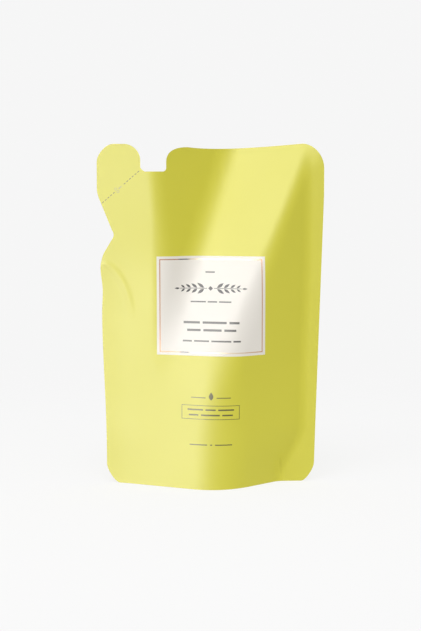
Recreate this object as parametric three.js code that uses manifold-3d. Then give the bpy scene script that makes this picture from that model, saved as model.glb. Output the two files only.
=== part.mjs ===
// Refill pouch for liquid hand soap: a sealed stand-up pouch of printed film with a tear-off corner spout.
// Millimetres, +Z up. The pouch stands on its bottom gusset with its front facing -Y, and the origin is
// on the floor under the middle of its overall box. The films are welded into one skin and the pouch is
// full, so the whole pack is one solid: its skin, and the liquid inside it.
import * as THREE from "three";
import { mergeVertices } from "three/addons/utils/BufferGeometryUtils.js";
import Module from "manifold-3d";

// Overall size, filled and standing. The sides draw in towards the base as the gusset spreads.
const PACK_WIDTH = 129.2;
const PACK_HEIGHT = 194;
const PACK_DEPTH = 48;
const BASE_DRAW_IN = 4.9;

// Two films welded together, and how wide the welds are.
const FILM_PAIR = 0.4;
const SIDE_SEAL = 9.5;
const TOP_SEAL = 10;
const SPOUT_SEAL = 5.5;

// Cut corners of the panel: reach along the edge, then rise up the side.
const BASE_CORNER_REACH = 7.4;
const BASE_CORNER_RISE = 10.8;
const TOP_CORNER_REACH = 12;
const TOP_CORNER_DROP = 14;
const NOTCH_CORNER_REACH = 12.6;
const NOTCH_CORNER_DROP = 8.5;
const TOP_SAG = 3.1;

// Spout: a tab at the top left corner between a square notch in the top edge and a V notch in the side.
const TAB_WIDTH = 24.4;
const TAB_DROP = 0.4;
const TAB_CORNER = 9;
const NOTCH_WIDTH = 14.6;
const NOTCH_DEPTH = 15.9;
const NOTCH_FILLET = 2;
const TAB_FOOT_DROP = 28.5;
const V_NOTCH_DROP = 51.7;
const V_NOTCH_DEPTH = 10.4;
const SHOULDER_DROP = 70.8;

// The broad faces of a panel rise from the side welds and meet in a soft ridge that leans to one side.
const LEFT_WELD_TO_FACE = 14;
const LEFT_RIM_WELD_TO_FACE = 16.5;
const LEFT_TOP_WELD_TO_FACE = 9.8;
const LEFT_TOP_SLOPE = 0.68;
const RIGHT_WELD_TO_FACE = 12;
const RIGHT_RIM_WELD_TO_FACE = 26;
const RIDGE_X = 6.5;
const RIDGE_FOOT_X = 4;
const RIDGE_ROUND = 18;
const RIM_ROUND = 24;
const RIM_BLEND = 34;

// Where the top of the pouch folds, as [share of half width, share of height, share of half depth].
const FOLD_TOP_RIGHT = [0.79, 0.936, 0.017];
const FOLD_NOTCH = [-0.582, 0.853, 0.494];
const FOLD_DENT_TOP = [0.166, 0.98, -0.708];
const FOLD_DENT_MID = [-0.166, 0.655, -0.007];
const FOLD_BACK_CROWN = [0.05, 0.26, 1.08];

// The most the two panels part for each millimetre in from a weld.
const SIDE_OPENING = 1.35;
const TOP_OPENING = 0.5;
const SPOUT_OPENING = 0.6;

// Bottom gusset: a film folded up under the pouch, inside a skirt formed by the front and back panels.
const SKIRT_HEIGHT = 5;
const GUSSET_FLAT_HALF = 26;
const GUSSET_END_HALF = 38;
const GUSSET_END_RISE = 24;

const GRID = 4.6;
const HALF_WIDTH = PACK_WIDTH / 2;
const HALF_DEPTH = PACK_DEPTH / 2;
const BASE_HALF = HALF_WIDTH - BASE_DRAW_IN;

const clamp = THREE.MathUtils.clamp;
const lerp = (a, b, t) => a + (b - a) * clamp(t, 0, 1);
const smoothstep = (a, b, t) => THREE.MathUtils.smoothstep(t, a, b);

// The lower of two heights, rounded over where they come within a reach of each other.
function softMin(a, b, reach) {
  const near = Math.max(reach - Math.abs(a - b), 0) / reach;
  return Math.min(a, b) - (near * near * reach) / 4;
}

// Zero below zero and straight above it, rounded over a reach either side.
function ramp(t, reach) {
  if (t <= -reach) return 0;
  return t >= reach ? t : (t + reach) ** 2 / (4 * reach);
}

// A corner eased from one edge to the next; ease 0 is a chamfer, 0.55 a round.
function corner(from, at, to, ease) {
  const [a, c, b] = [from, at, to].map((p) => new THREE.Vector2(...p));
  return new THREE.CubicBezierCurve(a, a.clone().lerp(c, ease), b.clone().lerp(c, ease), b).getPoints(5);
}

function curve(...points) {
  return new THREE.CubicBezierCurve(...points.map((p) => new THREE.Vector2(...p))).getPoints(9);
}

// Outline of the panel seen from the front, anticlockwise from the base, in four runs of edge.
function panelEdges() {
  const tabRight = -HALF_WIDTH + TAB_WIDTH;
  const notchRight = tabRight + NOTCH_WIDTH;
  const topStart = notchRight + NOTCH_CORNER_REACH;
  const notchFloor = PACK_HEIGHT - NOTCH_DEPTH;
  const topLeft = PACK_HEIGHT - TOP_SAG * 0.68;
  const cornerX = HALF_WIDTH - TOP_CORNER_REACH;
  const foot = BASE_HALF - BASE_CORNER_REACH;
  const shoulder = PACK_HEIGHT - SHOULDER_DROP;
  const vNotch = PACK_HEIGHT - V_NOTCH_DROP;
  const vApex = -HALF_WIDTH + V_NOTCH_DEPTH;
  const tabTop = PACK_HEIGHT - TAB_DROP;
  const tabFoot = PACK_HEIGHT - TAB_FOOT_DROP;
  const waist = shoulder - 13.2;
  const upper = PACK_HEIGHT * 0.85;

  const right = [
    ...corner([foot, 0], [BASE_HALF, 0], [BASE_HALF, BASE_CORNER_RISE], 0.35),
    ...curve(
      [BASE_HALF, BASE_CORNER_RISE],
      [BASE_HALF + 1.3, upper * 0.36],
      [HALF_WIDTH - 1.3, upper * 0.73],
      [HALF_WIDTH, upper],
    ).slice(1),
    ...corner(
      [HALF_WIDTH, PACK_HEIGHT - TOP_CORNER_DROP],
      [HALF_WIDTH, PACK_HEIGHT],
      [cornerX, PACK_HEIGHT],
      0.52,
    ),
  ];

  const top = curve(
    [cornerX, PACK_HEIGHT],
    [cornerX - 25.6, PACK_HEIGHT - TOP_SAG * 0.74],
    [topStart + 15, PACK_HEIGHT - TOP_SAG * 1.26],
    [topStart, topLeft],
  );

  const spout = [
    ...corner([topStart, topLeft], [notchRight, topLeft], [notchRight, topLeft - NOTCH_CORNER_DROP], 0.66),
    ...corner(
      [notchRight, notchFloor + NOTCH_FILLET],
      [notchRight, notchFloor],
      [notchRight - NOTCH_FILLET, notchFloor],
      0.55,
    ),
    ...corner(
      [tabRight + NOTCH_FILLET, notchFloor],
      [tabRight, notchFloor],
      [tabRight, notchFloor + NOTCH_FILLET],
      0.55,
    ),
    ...corner(
      [tabRight, tabTop - TAB_CORNER],
      [tabRight, tabTop],
      [tabRight - TAB_CORNER, tabTop],
      0.52,
    ),
    ...corner(
      [-HALF_WIDTH + TAB_CORNER, tabTop],
      [-HALF_WIDTH, tabTop],
      [-HALF_WIDTH, tabTop - TAB_CORNER - 1],
      0.42,
    ),
    ...corner([-HALF_WIDTH, tabFoot + 3], [-HALF_WIDTH, tabFoot], [-HALF_WIDTH + 1.4, tabFoot - 3.1], 0.55),
    ...corner([vApex - 2, vNotch + 2.7], [vApex, vNotch], [vApex - 2.3, vNotch - 2.9], 0.65),
    ...corner(
      [-HALF_WIDTH + 4, shoulder + 9.2],
      [-HALF_WIDTH + 1.7, shoulder + 5],
      [-HALF_WIDTH + 1.8, shoulder],
      0.55,
    ),
  ];

  const left = [
    ...curve(
      [-HALF_WIDTH + 1.8, shoulder],
      [-HALF_WIDTH + 1.9, shoulder - 4],
      [-HALF_WIDTH + 3, waist + 4.5],
      [-HALF_WIDTH + 3, waist],
    ),
    ...curve(
      [-HALF_WIDTH + 3, waist],
      [-HALF_WIDTH + 3, waist - 3.5],
      [-HALF_WIDTH + 2.6, waist - 8],
      [-HALF_WIDTH + 2.6, waist - 12],
    ).slice(1),
    ...curve(
      [-HALF_WIDTH + 2.6, waist - 12],
      [-HALF_WIDTH + 2.6, waist * 0.64],
      [-BASE_HALF, waist * 0.45],
      [-BASE_HALF, BASE_CORNER_RISE],
    ).slice(1),
    ...corner([-BASE_HALF, BASE_CORNER_RISE], [-BASE_HALF, 0], [-foot, 0], 0.35).slice(1),
  ];
  return { right, top, spout, left };
}

const edges = panelEdges();

function distanceTo(edge, x, z) {
  let nearest = Infinity;
  for (let i = 1; i < edge.length; i += 1) {
    const a = edge[i - 1];
    const run = edge[i].clone().sub(a);
    const length = run.lengthSq();
    if (length < 1e-9) continue;
    const along = clamp(((x - a.x) * run.x + (z - a.y) * run.y) / length, 0, 1);
    nearest = Math.min(nearest, Math.hypot(x - a.x - along * run.x, z - a.y - along * run.y));
  }
  return nearest;
}

// The plane of a fold facet through three fold points, as a height in front of the panel's middle.
function facet(...points) {
  const at = points.map(([x, z, h]) => new THREE.Vector3(x * HALF_WIDTH, z * PACK_HEIGHT, h * HALF_DEPTH));
  const plane = new THREE.Plane().setFromCoplanarPoints(...at);
  return (x, z) => -(plane.normal.x * x + plane.normal.y * z + plane.constant) / plane.normal.z;
}

const behind = ([x, z, h]) => [x, z, -h];
const dentLeft = facet(FOLD_NOTCH, FOLD_DENT_TOP, FOLD_DENT_MID);
const dentRight = facet(FOLD_TOP_RIGHT, FOLD_DENT_TOP, FOLD_DENT_MID);
const roofLeft = facet(behind(FOLD_NOTCH), behind(FOLD_DENT_TOP), FOLD_BACK_CROWN);
const roofRight = facet(behind(FOLD_TOP_RIGHT), behind(FOLD_DENT_TOP), FOLD_BACK_CROWN);

// The two broad faces of a panel, below the folds at its top.
function broadFaces(x, z) {
  const rim = 1 - smoothstep(0, RIM_BLEND, z);
  const seal = smoothstep(4, RIM_BLEND, z);
  const flatter = smoothstep(95, 140, z);
  const leftWeld = lerp(LEFT_WELD_TO_FACE, LEFT_TOP_WELD_TO_FACE, flatter);
  const startLeft = HALF_WIDTH - lerp(leftWeld, LEFT_RIM_WELD_TO_FACE, rim);
  const upperRight = RIGHT_WELD_TO_FACE - 2.5 * smoothstep(60, 130, z);
  const startRight = HALF_WIDTH - lerp(upperRight, RIGHT_RIM_WELD_TO_FACE, rim);
  const ridge = lerp(RIDGE_FOOT_X, RIDGE_X, smoothstep(0, 75, z));
  const crest = HALF_DEPTH + lerp(RIDGE_ROUND, RIM_ROUND, rim) / 4;
  const fromLeft = startLeft + x;
  const fromRight = startRight - x;
  const leftRise = ramp(fromLeft, 5) - lerp(0.75, 1, flatter) * ramp(-fromLeft, 5);
  const left = (lerp(1, LEFT_TOP_SLOPE, flatter) * leftRise) / (startLeft + ridge);
  const right = (ramp(fromRight, 3) + 0.05 * seal * ramp(-fromRight, 3)) / (startRight - ridge);
  const round = lerp(lerp(RIDGE_ROUND, 3, (z / PACK_HEIGHT - 0.15) / 0.62), RIM_ROUND, rim);
  return softMin(crest * left, crest * right, round);
}

// How far the front film stands in front of the middle plane: the broad faces, with a dent pressed into
// the top between the ridge that runs down from the spout and the one from the top right corner.
function frontHeight(x, z) {
  const dent = -softMin(-dentLeft(x, z), -dentRight(x, z), 7.7);
  return softMin(broadFaces(x, z), dent, lerp(12, 4.7, (z / PACK_HEIGHT - 0.2) / 0.6));
}

// How far the back film stands behind the middle plane. It lies on the front film at the welds, and
// stands out in a long hip where the front is dented.
function backHeight(x, z) {
  const front = frontHeight(x, z);
  const hip = softMin(roofLeft(x, z), roofRight(x, z), 8);
  const full = front + softMin(broadFaces(x, z), hip, 10);
  const welds = [
    SIDE_OPENING * ramp(distanceTo(edges.left, x, z) - SIDE_SEAL, 3),
    SIDE_OPENING * ramp(distanceTo(edges.right, x, z) - SIDE_SEAL, 3),
    TOP_OPENING * ramp(distanceTo(edges.top, x, z) - TOP_SEAL, 2),
  ];
  const tab = smoothstep(PACK_HEIGHT - 40, PACK_HEIGHT - 12, z);
  const spout = lerp(SPOUT_OPENING, 0.1, tab) * ramp(distanceTo(edges.spout, x, z) - SPOUT_SEAL, 2);
  const opening = softMin(Math.min(...welds), spout * lerp(1, 2, spout / 12), 4);
  return FILM_PAIR + Math.max(0, softMin(full, opening, 4)) - front;
}

const wasm = await Module();
wasm.setup();

function toSolid(geometry) {
  const bare = geometry.clone();
  bare.deleteAttribute("normal");
  bare.deleteAttribute("uv");
  const merged = mergeVertices(bare, 1e-5);
  return new wasm.Manifold(
    new wasm.Mesh({
      numProp: 3,
      vertProperties: merged.attributes.position.array,
      triVerts: new Uint32Array(merged.index.array),
    }),
  );
}

function fromSolid(solid) {
  const mesh = solid.getMesh();
  const geometry = new THREE.BufferGeometry();
  geometry.setAttribute("position", new THREE.BufferAttribute(mesh.vertProperties, mesh.numProp));
  geometry.setIndex(new THREE.BufferAttribute(mesh.triVerts, 1));
  return geometry;
}

// Every vertex of a box moved to where place puts it, given the vertex in the box's own shares, 0 to 1.
function moldBox(segments, place) {
  const box = new THREE.BoxGeometry(1, 1, 1, ...segments).translate(0.5, 0.5, 0.5);
  const at = box.attributes.position;
  for (let i = 0; i < at.count; i += 1) at.setXYZ(i, ...place(at.getX(i), at.getY(i), at.getZ(i)));
  return box;
}

// The filled pouch as a cushion, larger than the panel's outline all round.
function cushion() {
  const over = 5;
  const width = PACK_WIDTH + 2 * over;
  const height = PACK_HEIGHT + 2 * over;
  return moldBox([Math.round(width / GRID), 1, Math.round(height / GRID)], (u, v, w) => {
    const x = (u - 0.5) * width;
    const z = w * height - over;
    return [x, v < 0.5 ? -frontHeight(x, z) : backHeight(x, z), z];
  });
}

// The panel's outline carried from well in front of the pouch to well behind it.
function outlinePrism() {
  const points = [...edges.right, ...edges.top.slice(1), ...edges.spout.slice(1), ...edges.left.slice(1)];
  const reach = PACK_DEPTH * 2;
  const prism = new THREE.ExtrudeGeometry(new THREE.Shape(points), { depth: reach, bevelEnabled: false });
  return prism.rotateX(Math.PI / 2).translate(0, reach / 2, 0);
}

// The space under the gusset. It reaches the floor nowhere over the flat middle, which the pouch rests on.
function gussetSpace() {
  const skirt = FILM_PAIR * 2;
  return moldBox([18, 10, 3], (u, v, w) => {
    const x = (2 * u - 1) * GUSSET_END_HALF;
    const across = Math.abs(2 * v - 1);
    const end = smoothstep(GUSSET_FLAT_HALF, GUSSET_END_HALF, Math.abs(x));
    const fold = GUSSET_END_RISE * end - 0.4;
    const lip = lerp(SKIRT_HEIGHT, GUSSET_END_RISE - 0.4, end);
    const z = lerp(-2, lerp(fold, lip, smoothstep(0.42, 1, across)), w);
    const level = Math.max(z, 0);
    const front = -frontHeight(x, level) + skirt;
    const back = Math.max(backHeight(x, level) - skirt, front + 0.3);
    return [x, lerp(front, back, v), z];
  });
}

const pouch = toSolid(cushion()).intersect(toSolid(outlinePrism())).subtract(toSolid(gussetSpace()));
const pouchGeometry = fromSolid(pouch);
pouchGeometry.computeBoundingBox();
const middle = pouchGeometry.boundingBox.getCenter(new THREE.Vector3());
pouchGeometry.translate(-middle.x, -middle.y, -pouchGeometry.boundingBox.min.z);
pouchGeometry.computeVertexNormals();

const refillPouch = new THREE.Mesh(
  pouchGeometry,
  new THREE.MeshStandardMaterial({ color: 0xdbd75a, roughness: 0.42, metalness: 0 }),
);
refillPouch.name = "refill_pouch";

const part = new THREE.Group();
part.name = "hand_soap_refill_pack";
part.add(refillPouch);

export default part;
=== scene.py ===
import math

import bpy
import numpy as np
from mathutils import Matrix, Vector
from mathutils.geometry import delaunay_2d_cdt
from mathutils.kdtree import KDTree


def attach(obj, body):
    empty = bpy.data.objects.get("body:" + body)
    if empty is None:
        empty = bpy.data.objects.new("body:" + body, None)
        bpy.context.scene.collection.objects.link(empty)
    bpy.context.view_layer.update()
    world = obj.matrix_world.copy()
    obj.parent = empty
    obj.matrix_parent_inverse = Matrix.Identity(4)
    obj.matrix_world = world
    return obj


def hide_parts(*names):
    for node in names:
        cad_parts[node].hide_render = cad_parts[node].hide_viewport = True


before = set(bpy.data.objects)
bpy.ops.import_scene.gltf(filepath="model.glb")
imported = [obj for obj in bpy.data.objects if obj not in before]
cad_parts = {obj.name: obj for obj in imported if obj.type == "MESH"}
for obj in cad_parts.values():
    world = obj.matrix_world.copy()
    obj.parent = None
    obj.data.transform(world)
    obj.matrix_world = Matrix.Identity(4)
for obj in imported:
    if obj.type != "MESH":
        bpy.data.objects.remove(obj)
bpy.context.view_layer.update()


# Panel blank
# The front and back are two sheets of laminated film, welded together and die-cut to one outline: a tear-off
# tab at the top left between a square notch and a V notch, eased corners, and sides drawn in at the base.
# Sizes here and below are millimetres on the standing pouch, x to the right and z up, as seen from the front.
HALF_WIDTH = 64.6
HEIGHT = 194.0
HALF_DEPTH = 24.0
BASE_HALF = 59.7
BASE_CORNER_RISE = 10.8
BASE_FOOT = BASE_HALF - 7.4
TAB_TOP = HEIGHT - 0.4
TAB_RIGHT = -40.2
NOTCH_RIGHT = -25.6
NOTCH_FLOOR = 178.1
SHOULDER = 123.2
WAIST = 110.0


def bezier(a, b, c, d, steps):
    t = np.linspace(0, 1, steps + 1)[:, None]
    a, b, c, d = (np.array(p, float) for p in (a, b, c, d))
    return (1 - t) ** 3 * a + 3 * (1 - t) ** 2 * t * b + 3 * (1 - t) * t * t * c + t ** 3 * d


def eased(start, corner, end, ease, steps=10):
    start, corner, end = (np.array(p, float) for p in (start, corner, end))
    return bezier(start, start + (corner - start) * ease, end + (corner - end) * ease, end, steps)


def spaced(points, step):
    """The same line with no two neighbours further apart than step."""
    out = [points[0]]
    for a, b in zip(points[:-1], points[1:]):
        pieces = max(1, math.ceil(np.hypot(*(b - a)) / step))
        out.extend(a + (b - a) * k / pieces for k in range(1, pieces + 1))
    out = np.array(out)
    return out[np.r_[True, np.hypot(*np.diff(out, axis=0).T) > 1e-6]]


edge_right = np.vstack([
    eased((BASE_FOOT, 0), (BASE_HALF, 0), (BASE_HALF, BASE_CORNER_RISE), 0.35),
    bezier(
        (BASE_HALF, BASE_CORNER_RISE), (BASE_HALF + 1.3, 60), (HALF_WIDTH - 1.3, 121), (HALF_WIDTH, 165), 40,
    ),
    eased((HALF_WIDTH, HEIGHT - 14), (HALF_WIDTH, HEIGHT), (HALF_WIDTH - 12, HEIGHT), 0.52),
])
edge_top = bezier((HALF_WIDTH - 12, HEIGHT), (27, 191.7), (2, 190.1), (-13, 191.9), 40)
edge_spout = np.vstack([
    eased((-13, 191.9), (NOTCH_RIGHT, 191.9), (NOTCH_RIGHT, 183.4), 0.66),
    eased((NOTCH_RIGHT, NOTCH_FLOOR + 2), (NOTCH_RIGHT, NOTCH_FLOOR), (NOTCH_RIGHT - 2, NOTCH_FLOOR), 0.55),
    eased((TAB_RIGHT + 2.6, NOTCH_FLOOR), (TAB_RIGHT, NOTCH_FLOOR), (TAB_RIGHT, NOTCH_FLOOR + 2.6), 0.3),
    eased((TAB_RIGHT, TAB_TOP - 9), (TAB_RIGHT, TAB_TOP), (TAB_RIGHT - 9, TAB_TOP), 0.52),
    eased((-HALF_WIDTH + 9, TAB_TOP), (-HALF_WIDTH, TAB_TOP), (-HALF_WIDTH, TAB_TOP - 10), 0.42),
    eased((-HALF_WIDTH, 168.5), (-HALF_WIDTH, 165.5), (-HALF_WIDTH + 1.4, 162.4), 0.55),
    eased((-56.2, 145), (-54.2, 142.3), (-56.5, 139.4), 0.65),
    eased((-60.6, SHOULDER + 9.2), (-62.9, SHOULDER + 5), (-62.8, SHOULDER), 0.55),
])
edge_left = np.vstack([
    bezier((-62.8, SHOULDER), (-62.7, SHOULDER - 4), (-61.6, WAIST + 4.5), (-61.6, WAIST), 12),
    bezier((-61.6, WAIST), (-61.6, WAIST - 3.5), (-62, WAIST - 8), (-62, WAIST - 12), 12),
    bezier((-62, WAIST - 12), (-62, 70), (-BASE_HALF, 50), (-BASE_HALF, BASE_CORNER_RISE), 40),
    eased((-BASE_HALF, BASE_CORNER_RISE), (-BASE_HALF, 0), (-BASE_FOOT, 0), 0.35),
])
edge_base = np.array([(-BASE_FOOT, 0.0), (BASE_FOOT, 0.0)])

EDGE_STEP = 1.3
base_line = spaced(edge_base, EDGE_STEP)
outline = np.vstack([
    base_line,
    spaced(np.vstack([edge_right, edge_top, edge_spout, edge_left]), EDGE_STEP)[1:-1],
])


# Print
# Flat inks and one foil, printed on the front film before it is cut: a cream label field with a foil hairline
# frame and a plain sprig, rows of plain bars, an open box, and the dashed line where the tab is cut off.
LABEL_X, LABEL_Z = -0.9, 102.8
LABEL_HALF_X, LABEL_HALF_Z = 30.4, 27.6
prints = []


def rectangle(x, z, half_x, half_z, turn=0.0):
    c, s = math.cos(turn), math.sin(turn)
    corners = [(-half_x, -half_z), (half_x, -half_z), (half_x, half_z), (-half_x, half_z)]
    return np.array([(x + c * u - s * v, z + s * u + c * v) for u, v in corners])


def ring(x, z, radius, steps=18):
    turn = np.linspace(0, 2 * math.pi, steps, endpoint=False)
    return np.c_[x + radius * np.cos(turn), z + radius * np.sin(turn)]


def leaf(x, z, length, width, turn):
    """A pointed leaf that grows from x, z along the direction turn."""
    t = np.linspace(0, 1, 9)
    half = width / 2 * np.sin(math.pi * t) * (1.15 - 0.5 * t)
    side = np.r_[np.c_[t * length, half], np.c_[t[-2:0:-1] * length, -half[-2:0:-1]]]
    c, s = math.cos(turn), math.sin(turn)
    return np.c_[x + c * side[:, 0] - s * side[:, 1], z + s * side[:, 0] + c * side[:, 1]]


def print_row(ink, x, z, half_z, lengths, gap):
    """A centred row of plain bars."""
    at = x - (sum(lengths) + gap * (len(lengths) - 1)) / 2
    for length in lengths:
        prints.append((ink, rectangle(at + length / 2, z, length / 2, half_z)))
        at += length + gap


def print_frame(ink, inside, x, z, half_x, half_z, line):
    """A rectangular outline: the outer field in its ink, the inner one back in what it is printed on."""
    prints.append((ink, rectangle(x, z, half_x, half_z)))
    prints.append((inside, rectangle(x, z, half_x - line, half_z - line)))


prints.append(("label", rectangle(LABEL_X, LABEL_Z, LABEL_HALF_X, LABEL_HALF_Z)))
print_frame("foil", "label", LABEL_X, LABEL_Z, LABEL_HALF_X - 1.5, LABEL_HALF_Z - 1.5, 0.55)

SPRIG_Z = LABEL_Z + 9.6
for side in (-1, 1):
    prints.append(("ink", rectangle(LABEL_X + side * 9.5, SPRIG_Z, 7.6, 0.16)))
    for reach, size in [(3.6, 4.6), (7.4, 4.0), (11.0, 3.4), (14.4, 2.7)]:
        for up in (-1, 1):
            turn = math.atan2(up * 0.72, side)
            prints.append(("ink", leaf(LABEL_X + side * reach, SPRIG_Z + up * 0.3, size, size * 0.4, turn)))
    prints.append(("ink", leaf(LABEL_X + side * 17.3, SPRIG_Z, 3.0, 1.1, 0.0 if side > 0 else math.pi)))
prints.append(("ink", rectangle(LABEL_X, SPRIG_Z, 0.95, 0.95, math.pi / 4)))
print_row("ink_pale", LABEL_X, LABEL_Z + 18.6, 0.42, [5.2], 0)
print_row("ink_pale", LABEL_X, LABEL_Z + 2.2, 0.38, [8.4, 5.2, 6.8], 1.0)
print_row("ink_pale", LABEL_X, LABEL_Z - 9.2, 0.62, [9.0, 13.2, 5.6], 1.5)
print_row("ink_pale", LABEL_X, LABEL_Z - 13.4, 0.62, [7.4, 10.0, 6.6], 1.5)
print_row("ink_pale", LABEL_X, LABEL_Z - 19.4, 0.45, [5.0, 8.2, 11.0, 4.2], 1.2)

MARKS_X = -1.7
prints.append(("ink_film", leaf(MARKS_X, 50.6, 4.6, 2.7, math.pi / 2)))
print_row("ink_film", MARKS_X, 52.0, 0.24, [8.0, 8.0], 6.0)
print_frame("ink_film", "film", MARKS_X, 43.7, 16.1, 4.0, 0.32)
print_row("ink_film", MARKS_X, 45.2, 0.42, [8.4, 5.6, 9.0], 1.4)
print_row("ink_film", MARKS_X, 42.2, 0.42, [5.2, 10.4, 6.0], 1.4)
print_row("ink_film", MARKS_X, 25.4, 0.3, [9.6, 1.2, 9.6], 1.6)

TEAR_START, TEAR_END = np.array((-61.9, 160.1)), np.array((-40.6, 178.6))
tear_run = TEAR_END - TEAR_START
tear_turn = math.atan2(tear_run[1], tear_run[0])
TEAR_DASHES = 14
for k in range(TEAR_DASHES):
    share = (k + 0.5) / TEAR_DASHES
    if 0.36 < share < 0.58:
        continue
    x, z = TEAR_START + tear_run * share
    prints.append(("ink_tear", rectangle(x, z, 0.62, 0.2, tear_turn)))
snip = TEAR_START + tear_run * 0.47
for side in (-1, 1):
    blade = tear_turn + side * 0.32
    across = np.array((-math.sin(tear_turn), math.cos(tear_turn))) * side
    along = np.array((math.cos(tear_turn), math.sin(tear_turn)))
    prints.append(("ink_pale_film", leaf(*(snip - along * 1.0 - across * 0.5), 3.2, 0.55, blade)))
    prints.append(("ink_pale_film", ring(*(snip - along * 1.9 - across * 0.95), 0.82, 14)))
    prints.append(("film", ring(*(snip - along * 1.9 - across * 0.95), 0.48, 12)))


# Filled shape
# The liquid spreads the gusset and swells the pouch, so the front falls into flat faces: two broad ones that
# meet in a soft ridge, and a dent under the top edge between the folds from the spout and the right corner.
# The back bulges the other way from the same welds.
def lerp(a, b, t):
    return a + (b - a) * np.clip(t, 0, 1)


def smoothstep(a, b, t):
    t = np.clip((t - a) / (b - a), 0, 1)
    return t * t * (3 - 2 * t)


def soft_min(a, b, reach):
    near = np.maximum(reach - np.abs(a - b), 0) / reach
    return np.minimum(a, b) - near * near * reach / 4


def ramp(t, reach):
    return np.where(t <= -reach, 0, np.where(t >= reach, t, (t + reach) ** 2 / (4 * reach)))


def distance_to(line, x, z):
    nearest = np.full(np.shape(x), np.inf)
    for a, b in zip(line[:-1], line[1:]):
        run = b - a
        if run @ run < 1e-9:
            continue
        along = np.clip(((x - a[0]) * run[0] + (z - a[1]) * run[1]) / (run @ run), 0, 1)
        nearest = np.minimum(nearest, np.hypot(x - a[0] - along * run[0], z - a[1] - along * run[1]))
    return nearest


def facet(*points):
    """The flat face through three folds, each at shares of the half width, height and half depth."""
    at = np.array(points) * (HALF_WIDTH, HEIGHT, HALF_DEPTH)
    slope_x, slope_z, level = np.linalg.solve(np.c_[at[:, :2], np.ones(3)], at[:, 2])
    return lambda x, z: slope_x * x + slope_z * z + level


FOLD_TOP_RIGHT = (0.79, 0.936, 0.017)
FOLD_NOTCH = (-0.582, 0.853, 0.494)
FOLD_DENT_TOP = (0.166, 0.98, -0.708)
FOLD_DENT_MID = (-0.166, 0.655, -0.007)
FOLD_BACK_CROWN = (0.05, 0.26, 1.08)
mirror = np.array((1, 1, -1))
dent_left = facet(FOLD_NOTCH, FOLD_DENT_TOP, FOLD_DENT_MID)
dent_right = facet(FOLD_TOP_RIGHT, FOLD_DENT_TOP, FOLD_DENT_MID)
hip_left = facet(FOLD_NOTCH * mirror, FOLD_DENT_TOP * mirror, FOLD_BACK_CROWN)
hip_right = facet(FOLD_TOP_RIGHT * mirror, FOLD_DENT_TOP * mirror, FOLD_BACK_CROWN)


LEFT_WELD, LEFT_TOP_WELD, LEFT_RIM_WELD = 14, 9.8, 16.5
RIGHT_WELD, RIGHT_RIM_WELD = 12, 26
LEFT_TOP_SLOPE = 0.68
RIDGE_FOOT_X, RIDGE_X = 4, 6.5
RIDGE_ROUND, RIM_ROUND, RIM_BLEND = 18, 24, 34


def broad_faces(x, z):
    """The two broad faces of a panel, each rising from beside its weld to the ridge."""
    rim = 1 - smoothstep(0, RIM_BLEND, z)
    held = smoothstep(4, RIM_BLEND, z)
    flatter = smoothstep(95, 140, z)
    start_left = HALF_WIDTH - lerp(lerp(LEFT_WELD, LEFT_TOP_WELD, flatter), LEFT_RIM_WELD, rim)
    start_right = HALF_WIDTH - lerp(RIGHT_WELD - 2.5 * smoothstep(60, 130, z), RIGHT_RIM_WELD, rim)
    ridge = lerp(RIDGE_FOOT_X, RIDGE_X, smoothstep(0, 75, z))
    crest = HALF_DEPTH + lerp(RIDGE_ROUND, RIM_ROUND, rim) / 4
    from_left = start_left + x
    from_right = start_right - x
    left = (ramp(from_left, 5) - lerp(0.75, 1, flatter) * ramp(-from_left, 5)) / (start_left + ridge)
    left = left * lerp(1, LEFT_TOP_SLOPE, flatter)
    right = (ramp(from_right, 3) + 0.05 * held * ramp(-from_right, 3)) / (start_right - ridge)
    rounding = lerp(lerp(RIDGE_ROUND, 3, (z / HEIGHT - 0.15) / 0.62), RIM_ROUND, rim)
    return soft_min(crest * left, crest * right, rounding)


shoulder_crease = bezier((-60, 126), (-53, 122), (-47, 114), (-45, 95), 8)
CREASE_HEIGHT, CREASE_REACH = 0.6, 1.7


def front_height(x, z):
    """How far the front film stands in front of the middle of the pouch."""
    dent = -soft_min(-dent_left(x, z), -dent_right(x, z), 7.7)
    drawn = soft_min(broad_faces(x, z), dent, lerp(12, 4.7, (z / HEIGHT - 0.2) / 0.6))
    crease = np.exp(-(distance_to(shoulder_crease, x, z) / CREASE_REACH) ** 2) * smoothstep(93, 106, z)
    return drawn + CREASE_HEIGHT * crease


SIDE_SEAL, TOP_SEAL, SPOUT_SEAL = 9.5, 10.0, 5.5
SIDE_OPENING, TOP_OPENING, SPOUT_OPENING = 1.35, 0.5, 0.6
FILM_PAIR = 0.4


def back_height(x, z):
    """How far the back film stands behind the middle: on the front film at the welds, full between them."""
    front = front_height(x, z)
    full = front + soft_min(broad_faces(x, z), soft_min(hip_left(x, z), hip_right(x, z), 8), 10)
    welds = np.minimum.reduce([
        SIDE_OPENING * ramp(distance_to(edge_left, x, z) - SIDE_SEAL, 3),
        SIDE_OPENING * ramp(distance_to(edge_right, x, z) - SIDE_SEAL, 3),
        TOP_OPENING * ramp(distance_to(edge_top, x, z) - TOP_SEAL, 2),
    ])
    tab = smoothstep(HEIGHT - 40, HEIGHT - 12, z)
    spout = lerp(SPOUT_OPENING, 0.1, tab) * ramp(distance_to(edge_spout, x, z) - SPOUT_SEAL, 2)
    opening = soft_min(welds, spout * lerp(1, 2, spout / 12), 4)
    return FILM_PAIR + np.maximum(0, soft_min(full, opening, 4)) - front


# Welded skin
# Front film, back film and gusset film, heat-sealed into one closed skin. The print's outlines are edges of
# the front film's mesh, so each ink is its own faces. The gusset is folded up inside a skirt of the panels.
INKS = ["film", "label", "foil", "ink", "ink_pale", "ink_film", "ink_tear", "ink_pale_film"]


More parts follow.
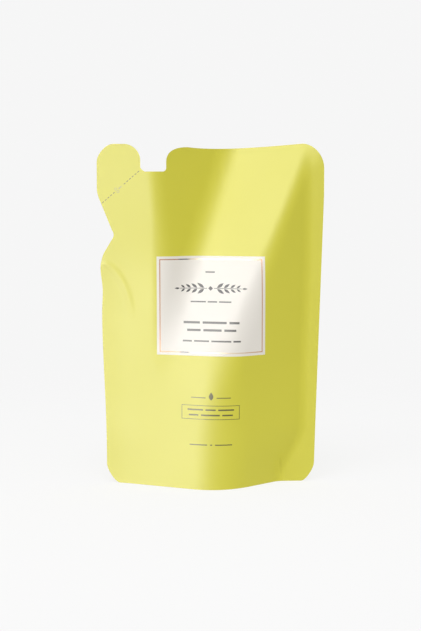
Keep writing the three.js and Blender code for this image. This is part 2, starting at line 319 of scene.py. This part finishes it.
def inside_loop(loop, x, z):
    odd = np.zeros(x.shape, bool)
    for (ax, az), (bx, bz) in zip(loop, np.roll(loop, -1, axis=0)):
        if az == bz:
            continue
        crosses = (az > z) != (bz > z)
        odd ^= crosses & (x < (bx - ax) * (z - az) / (bz - az) + ax)
    return odd


def panel_mesh(loops, step):
    """Triangles over the panel, with its outline first and every loop kept as edges."""
    points, edges = [outline], []
    count = 0
    for loop in [outline, *loops]:
        if count:
            points.append(loop)
        edges += [(count + k, count + (k + 1) % len(loop)) for k in range(len(loop))]
        count += len(loop)
    drawn = np.vstack(points)
    tree = KDTree(len(drawn))
    for k, (x, z) in enumerate(drawn):
        tree.insert((x, z, 0), k)
    tree.balance()
    rise = step * math.sqrt(3) / 2
    rows = np.arange(rise / 2, HEIGHT, rise)
    grid = np.array([
        (x, z) for k, z in enumerate(rows)
        for x in np.arange(-HALF_WIDTH + 0.5 * step * (k % 2), HALF_WIDTH, step)
    ])
    grid = grid[inside_loop(outline, grid[:, 0], grid[:, 1])]
    clear = [p for p in grid if tree.find((p[0], p[1], 0))[2] > step * 0.55]
    corners = np.vstack([drawn, clear])
    made = delaunay_2d_cdt([Vector(p) for p in corners], edges, [], 1, 1e-5)
    at = np.array([tuple(v) for v in made[0]])
    place = {given: k for k, given_here in enumerate(made[3]) for given in given_here}
    return at, made[2], [place[k] for k in range(len(outline))]


loops = [spaced(np.vstack([loop, loop[:1]]), 1.6)[:-1] for _, loop in prints]
front_at, front_faces, front_rim = panel_mesh(loops, 1.35)
back_at, back_faces, back_rim = panel_mesh([], 2.0)

front_points = np.c_[front_at[:, 0], -front_height(*front_at.T), front_at[:, 1]]
back_points = np.c_[back_at[:, 0], back_height(*back_at.T), back_at[:, 1]]
points = [*front_points, *back_points]
back_first = len(front_points)
front_ring = front_rim
back_ring = [back_first + k for k in back_rim]

faces = [tuple(f) for f in front_faces]
centre = np.array([front_at[list(f)].mean(axis=0) for f in front_faces])
ink_of = np.zeros(len(front_faces), int)
for ink, loop in prints:
    ink_of[inside_loop(loop, centre[:, 0], centre[:, 1])] = INKS.index(ink)
face_ink = list(ink_of)
faces += [tuple(back_first + k for k in reversed(f)) for f in back_faces]

GUSSET_END = 41.4
SKIRT_FILM = 0.18
columns = [k for k, (x, _) in enumerate(base_line) if abs(x) < GUSSET_END]
across = np.r_[np.linspace(0, 0.12, 4)[:-1], np.linspace(0.12, 0.88, 22), np.linspace(0.88, 1, 4)[1:]]
rows = []
for k in columns:
    x = base_line[k][0]
    end = smoothstep(24, 37, abs(x))
    close = 1 - smoothstep(38.6, GUSSET_END, abs(x))
    lip = (lerp(5.0, 22.0, end) - 1.0) * close + 1.0
    fold = lerp(0.12, lip, end)
    rise = np.linspace(0, lip, 6)
    column = [front_ring[k]]
    path = [(x, -front_height(x, z) + SKIRT_FILM, z) for z in rise[:-1]]
    level = lerp(fold, lip, smoothstep(0.42, 1, np.abs(2 * across - 1)))
    front = -front_height(x, level) + SKIRT_FILM
    depth = front + (back_height(x, level) - SKIRT_FILM - front) * across
    path += list(zip(np.full(across.size, x), depth, level))
    path += [(x, back_height(x, z) - SKIRT_FILM, z) for z in rise[-2::-1]]
    column += range(len(points), len(points) + len(path))
    points += [np.array(p, float) for p in path]
    rows.append([*column, back_ring[k]])
for a, b in zip(rows[:-1], rows[1:]):
    faces += [(a[j], a[j + 1], b[j + 1], b[j]) for j in range(len(a) - 1)]
faces += [tuple(reversed(rows[0])), tuple(rows[-1])]
for k in range(len(outline)):
    after = (k + 1) % len(outline)
    if k in columns and after in columns:
        continue
    faces.append((front_ring[k], back_ring[k], back_ring[after], front_ring[after]))
face_ink += [0] * (len(faces) - len(face_ink))

points = np.array(points)
points[:, 1] -= (points[:, 1].min() + points[:, 1].max()) / 2
skin = bpy.data.meshes.new("refill_pouch_skin")
skin.from_pydata((points / 1000).tolist(), [], faces)
skin.polygons.foreach_set("material_index", face_ink)
skin.polygons.foreach_set("use_smooth", [True] * len(faces))
skin.set_sharp_from_angle(angle=math.radians(50))
skin.validate()
pouch = bpy.data.objects.new("refill_pouch_film", skin)
bpy.context.collection.objects.link(pouch)
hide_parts("refill_pouch")
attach(pouch, "root")


class Finish:
    """A socket of a finish's nodes. Arithmetic on it adds Math nodes."""

    def __init__(self, tree, socket=None):
        self.tree = tree
        self.socket = socket

    def node(self, kind, settings=(), sockets=(), out=0):
        made = self.tree.nodes.new(kind)
        for name, value in dict(settings).items():
            if name == "stops":
                ramp_stops = made.color_ramp.elements
                while len(ramp_stops) < len(value):
                    ramp_stops.new(0.5)
                for stop, (place, colour) in zip(ramp_stops, value):
                    stop.position, stop.color = place, colour
            else:
                setattr(made, name, value)
        for name, value in dict(sockets).items():
            if isinstance(value, Finish):
                self.tree.links.new(value.socket, made.inputs[name])
            else:
                made.inputs[name].default_value = value
        return Finish(self.tree, made.outputs[out])

    def math(self, operation, first, second):
        return self.node("ShaderNodeMath", {"operation": operation}, {0: first, 1: second})

    def __add__(self, other):
        return self.math("ADD", self, other)

    def __sub__(self, other):
        return self.math("SUBTRACT", self, other)

    def __rsub__(self, other):
        return self.math("SUBTRACT", other, self)

    def __mul__(self, other):
        return self.math("MULTIPLY", self, other)

    __radd__ = __add__
    __rmul__ = __mul__


def new_finish(name):
    finish = bpy.data.materials.new(name)
    finish.use_nodes = True
    shader = finish.node_tree.nodes["Principled BSDF"]
    return finish, shader, Finish(finish.node_tree)


def feed(shader, name, value):
    shader.id_data.links.new(value.socket, shader.inputs[name])


FILM_YELLOW = (0.66, 0.62, 0.045, 1)
FILM_DEEP = (0.635, 0.592, 0.038, 1)


def film_surface(shader, start, smooth):
    """Satin lacquer over printed film: fine grain, slack ripples and uneven gloss."""
    where = start.node("ShaderNodeTexCoord", out=3)
    grain = start.node("ShaderNodeTexNoise", (), {"Vector": where, "Scale": 1500.0, "Detail": 2.0})
    drawn = start.node("ShaderNodeMapping", (), {"Vector": where, "Scale": (1.0, 1.0, 0.45)})
    ripple = start.node("ShaderNodeTexNoise", (), {
        "Vector": drawn, "Scale": 48.0, "Detail": 3.0, "Roughness": 0.55})
    cloud = start.node("ShaderNodeTexNoise", (), {"Vector": where, "Scale": 22.0, "Detail": 2.0})
    feed(shader, "Roughness", smooth + cloud * 0.10 + grain * 0.05)
    bump = start.node("ShaderNodeBump", (), {
        "Strength": 0.35, "Distance": 0.0006, "Height": ripple + grain * 0.03 + cloud * 0.5})
    feed(shader, "Normal", bump)
    return cloud


film, shader, start = new_finish("film_satin_yellow")
cloud = film_surface(shader, start, 0.46)
tone = start.node("ShaderNodeMix", {"data_type": "RGBA"}, {0: cloud, 6: FILM_DEEP, 7: FILM_YELLOW}, out=2)
feed(shader, "Base Color", tone)

LABEL_CREAM = (0.83, 0.795, 0.725, 1)
LABEL_BLUSH = (0.80, 0.755, 0.685, 1)
label, shader, start = new_finish("print_cream")
cloud = film_surface(shader, start, 0.46)
tone = start.node("ShaderNodeMix", {"data_type": "RGBA"}, {0: cloud, 6: LABEL_BLUSH, 7: LABEL_CREAM}, out=2)
feed(shader, "Base Color", tone)

foil, shader, start = new_finish("print_copper_foil_painted_reflection")
film_surface(shader, start, 0.30)
# Along x the frame runs copper at the ends, dark in a band left of the middle and pale gold across the
# middle: the copper is the foil's own colour, while the dark band and the pale gold are painted reflections.
sideways = start.node("ShaderNodeSeparateXYZ", (), {0: start.node("ShaderNodeTexCoord", out=3)})
share = start.node("ShaderNodeMapRange", (), {"Value": sideways, "From Min": -0.032, "From Max": 0.030})
tone = start.node("ShaderNodeValToRGB", {"stops": [
    (0.0, (0.46, 0.21, 0.10, 1)), (0.20, (0.40, 0.20, 0.11, 1)), (0.23, (0.05, 0.05, 0.05, 1)),
    (0.29, (0.05, 0.05, 0.05, 1)), (0.33, (0.62, 0.50, 0.34, 1)), (0.70, (0.70, 0.57, 0.40, 1)),
    (1.0, (0.50, 0.23, 0.10, 1))]}, {"Fac": share})
feed(shader, "Base Color", tone)
shader.inputs["Metallic"].default_value = 0.35

inks = {"film": film, "label": label, "foil": foil}
for name, colour in {
    "ink": (0.035, 0.032, 0.03, 1),
    "ink_pale": (0.10, 0.095, 0.085, 1),
    "ink_film": (0.10, 0.09, 0.02, 1),
    "ink_tear": (0.12, 0.105, 0.02, 1),
    "ink_pale_film": (0.48, 0.44, 0.12, 1),
}.items():
    inks[name], shader, start = new_finish("print_" + name)
    film_surface(shader, start, 0.42)
    shader.inputs["Base Color"].default_value = colour
for name in INKS:
    skin.materials.append(inks[name])


# Studio
# A pale glowing floor and backdrop, one soft box high on the left and one overhead, two large boxes that only
# show in the film's gloss, and a long lens a little above the pouch and to its left.
PALE = 0.923
AMBIENT = 0.55
bpy.context.scene.view_settings.view_transform = "Standard"
world = bpy.data.worlds.new("pale_studio")
bpy.context.scene.world = world
world.use_nodes = True
start = Finish(world.node_tree)
seen = start.node("ShaderNodeLightPath", out="Is Camera Ray")
seen = seen + start.node("ShaderNodeLightPath", out="Is Transmission Ray")
seen = seen + start.node("ShaderNodeLightPath", out="Is Glossy Ray")
strength = AMBIENT + seen * (PALE - AMBIENT)
backdrop = world.node_tree.nodes["Background"]
backdrop.inputs["Color"].default_value = (1, 1, 1, 1)
world.node_tree.links.new(strength.socket, backdrop.inputs["Strength"])


def direction(turn, rise):
    """Out from the pouch, at degrees to the right of its front and above the floor."""
    turn, rise = math.radians(turn), math.radians(rise)
    return Vector((math.sin(turn) * math.cos(rise), -math.cos(turn) * math.cos(rise), math.sin(rise)))


def soft_light(name, turn, rise, distance, size, radiance):
    """A soft box in one direction from the pouch, facing it."""
    aim = Vector((0, 0, 0.09))
    box = bpy.data.lights.new(name, "AREA")
    box.shape = "RECTANGLE"
    box.size, box.size_y = size
    box.energy = math.pi * size[0] * size[1] * radiance
    holder = bpy.data.objects.new(name, box)
    out = direction(turn, rise)
    holder.location = aim + distance * out
    holder.rotation_euler = (-out).to_track_quat("-Z", "Y").to_euler()
    bpy.context.collection.objects.link(holder)
    return holder


soft_light("high_left", -45, 38, 1.6, (0.8, 0.8), 1.6)
soft_light("overhead", -10, 58, 1.6, (0.8, 0.8), 4.0)
sheen_stops = bpy.data.collections.new("stops_the_sheen")
sheen_stops.objects.link(pouch)
for sheen in (
    soft_light("sheen_left", -55, 4, 1.4, (1.1, 1.6), 11.6),
    soft_light("sheen_top", -26, 40, 1.4, (1.0, 0.8), 5.9),
):
    sheen.visible_diffuse = False
    sheen.light_linking.blocker_collection = sheen_stops

floor_mesh = bpy.data.meshes.new("floor")
floor_mesh.from_pydata([(-2, -2, 0), (2, -2, 0), (2, 2, 0), (-2, 2, 0)], [], [(0, 1, 2, 3)])
floor = bpy.data.objects.new("floor", floor_mesh)
floor.location.z = -0.0002
floor.visible_glossy = False
bpy.context.collection.objects.link(floor)
ground = bpy.data.materials.new("pale_floor")
ground.use_nodes = True
floor_mesh.materials.append(ground)
tree = ground.node_tree
tree.nodes.clear()
start = Finish(tree)
place = start.node("ShaderNodeTexCoord", out=3)
reach = start.node("ShaderNodeVectorMath", {"operation": "LENGTH"}, {0: place}, out=1)
near = start.node("ShaderNodeMapRange", {"interpolation_type": "SMOOTHSTEP"},
                  {"Value": reach, "From Min": 0.2, "From Max": 0.6, "To Min": 1.0, "To Max": 0.0})
lit = start.node("ShaderNodeBsdfDiffuse", (), {"Color": (0.86, 0.86, 0.86, 1)})
glow = start.node("ShaderNodeEmission", (), {"Color": (1, 1, 1, 1), "Strength": 1.0})
clear = start.node("ShaderNodeBsdfTransparent")
soft = start.node("ShaderNodeMixShader", (), {0: 0.2, 1: glow, 2: lit})
shown = start.node("ShaderNodeMixShader", (), {0: near, 1: clear, 2: soft})
out = tree.nodes.new("ShaderNodeOutputMaterial")
tree.links.new(shown.socket, out.inputs["Surface"])

CAMERA_DISTANCE = 0.90
AIM = Vector((-0.00035, 0.0, 0.0963))
lens = bpy.data.cameras.new("long_lens")
lens.sensor_fit = "VERTICAL"
lens.sensor_height = 36
lens.lens = 90.0
camera = bpy.data.objects.new("camera", lens)
towards = direction(-4.2, 5.0)
camera.location = AIM + CAMERA_DISTANCE * towards
camera.rotation_euler = (-towards).to_track_quat("-Z", "Y").to_euler()
bpy.context.collection.objects.link(camera)
bpy.context.scene.camera = camera
